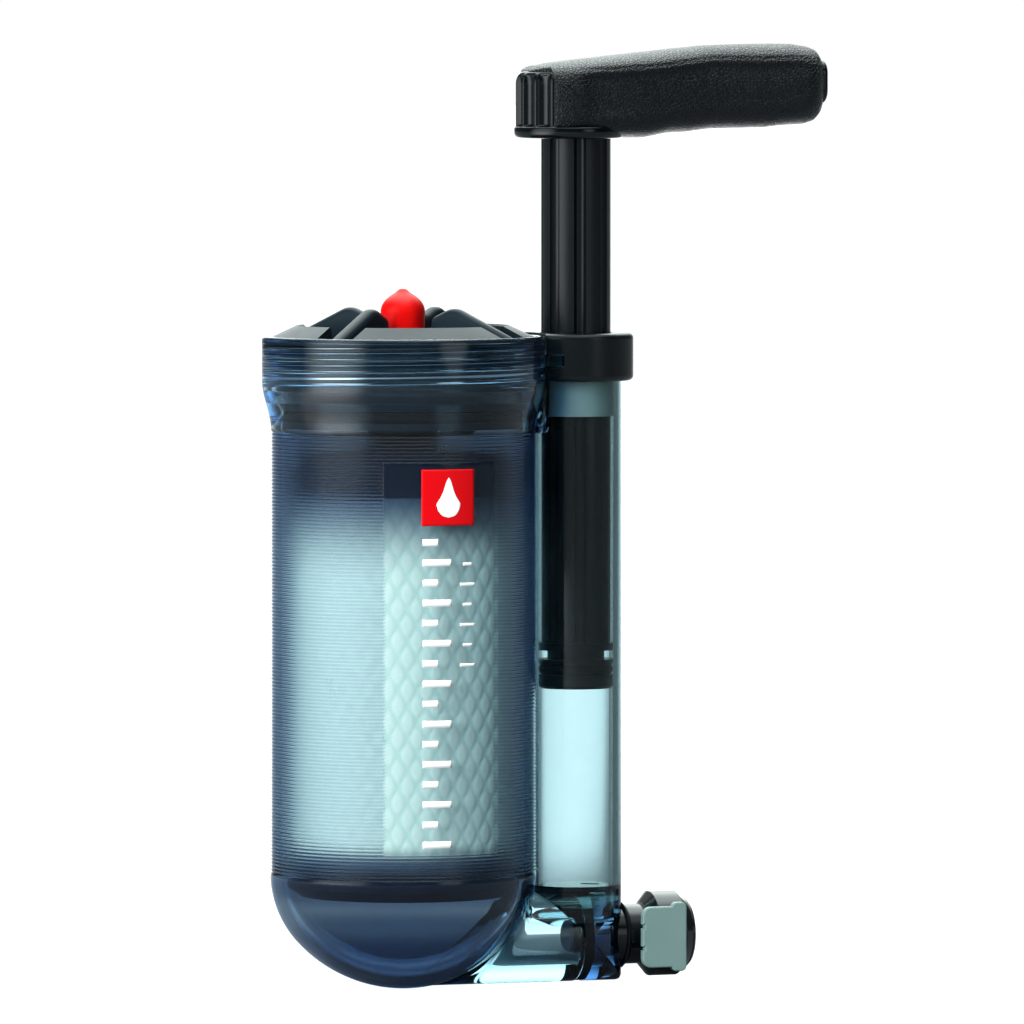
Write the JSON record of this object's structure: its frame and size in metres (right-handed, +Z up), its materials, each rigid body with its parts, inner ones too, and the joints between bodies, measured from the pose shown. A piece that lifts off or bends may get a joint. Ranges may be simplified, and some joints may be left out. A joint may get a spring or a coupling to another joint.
{
  "type": "pump water filter",
  "caption": "Hand-pumped water filter: clear smoke housing with finned screw lid, side pump barrel with fluted plunger and reaching handle, and a quick-release inlet.",
  "frame": {"origin": "on the filter housing's axis, half way up its ribbed grip, where a hand holds it", "axes": "+Z up along the housing and pump axes, +X from the housing to the pump and out of the inlet coupling, -Y the side with the smooth window and the thumb latch"},
  "size_m": [0.127, 0.0614, 0.2037],
  "materials": {
    "clear_smoke": "clear moulded plastic tinted smoke blue, polished inside, finely ribbed on the grip",
    "black_plastic": "moulded, satin",
    "black_gloss": "moulded, polished",
    "black_grain": "moulded, leather grain",
    "black_rubber": "smooth",
    "valve_rubber": "smooth",
    "milky_plastic": "translucent, unpigmented",
    "grey_latch": "moulded, satin grey-green",
    "spring_steel": "drawn wire",
    "red_rubber": "smooth",
    "cartridge_plastic": "moulded dark blue",
    "pale_net": "extruded net",
    "pleat_medium": "pleated glass-fibre paper",
    "carbon": "pressed carbon granules"
  },
  "bodies": {
    "housing": {"filter_housing": "clear_smoke", "pump_barrel": "clear_smoke", "inlet_block": "clear_smoke", "channel_seal": "black_rubber", "transfer_valve_seat": "black_plastic", "inlet_valve_seat": "black_plastic", "gland_cap": "black_gloss", "guide_bush": "milky_plastic", "rod_seal": "black_rubber", "coupling_body": "black_plastic", "coupling_seal": "black_rubber", "socket_oring": "black_rubber", "latch_spring": "spring_steel"},
    "transfer_valve": {"transfer_valve_disc": "valve_rubber"},
    "inlet_valve": {"inlet_valve_disc": "valve_rubber"},
    "latch": {"latch_plate": "grey_latch"},
    "piston_ring": {"piston_oring": "black_rubber"},
    "plunger": {"plunger_shaft": "black_gloss", "piston_head": "black_plastic", "handle_hub": "black_gloss", "handle_grip": "black_grain", "handle_end_plug": "black_grain"},
    "lid_ring": {"lid_oring": "black_rubber"},
    "lid": {"lid": "black_plastic", "outlet_nipple": "black_gloss", "nipple_oring": "black_rubber", "cartridge_top_cap": "cartridge_plastic", "cartridge_bottom_cap": "cartridge_plastic", "cartridge_oring": "black_rubber", "protector_sleeve": "pale_net", "pleated_element": "pleat_medium", "carbon_core": "carbon", "core_tube": "milky_plastic"},
    "cap": {"outlet_cap": "red_rubber"}
  },
  "joints": [
    {"name": "pump_stroke", "type": "slide", "parent": "housing", "child": "piston_ring", "axis": [0, 0, 1], "range_m": [-0.04, 0.048]},
    {"name": "handle_swing", "type": "hinge", "parent": "piston_ring", "child": "plunger", "pos_m": [0.0395, 0, 0], "axis": [0, 0, 1], "continuous": true},
    {"name": "lid_lift", "type": "slide", "parent": "housing", "child": "lid_ring", "axis": [0, 0, 1], "range_m": [0, 0.0064]},
    {"name": "lid_turn", "type": "hinge", "parent": "lid_ring", "child": "lid", "pos_m": [0, 0, 0], "axis": [0, 0, 1], "range_deg": [0, 900]},
    {"name": "cap_pull", "type": "slide", "parent": "lid", "child": "cap", "axis": [0, 0, 1], "range_m": [0, 0.013]},
    {"name": "latch_press", "type": "slide", "parent": "housing", "child": "latch", "axis": [0, 1, 0], "range_m": [0, 0.0013], "stiffness_N_per_m": 400, "springref_m": -0.001, "deforming": ["latch_spring"]},
    {"name": "transfer_valve_lift", "type": "slide", "parent": "housing", "child": "transfer_valve", "axis": [-1, 0, 0], "range_m": [0, 0.0008]},
    {"name": "inlet_valve_lift", "type": "slide", "parent": "housing", "child": "inlet_valve", "axis": [-1, 0, 0], "range_m": [0, 0.0008]}
  ],
  "couplings": [
    {"joint": "lid_lift", "follows": "lid_turn", "m_per_rad": 0.00040425}
  ]
}
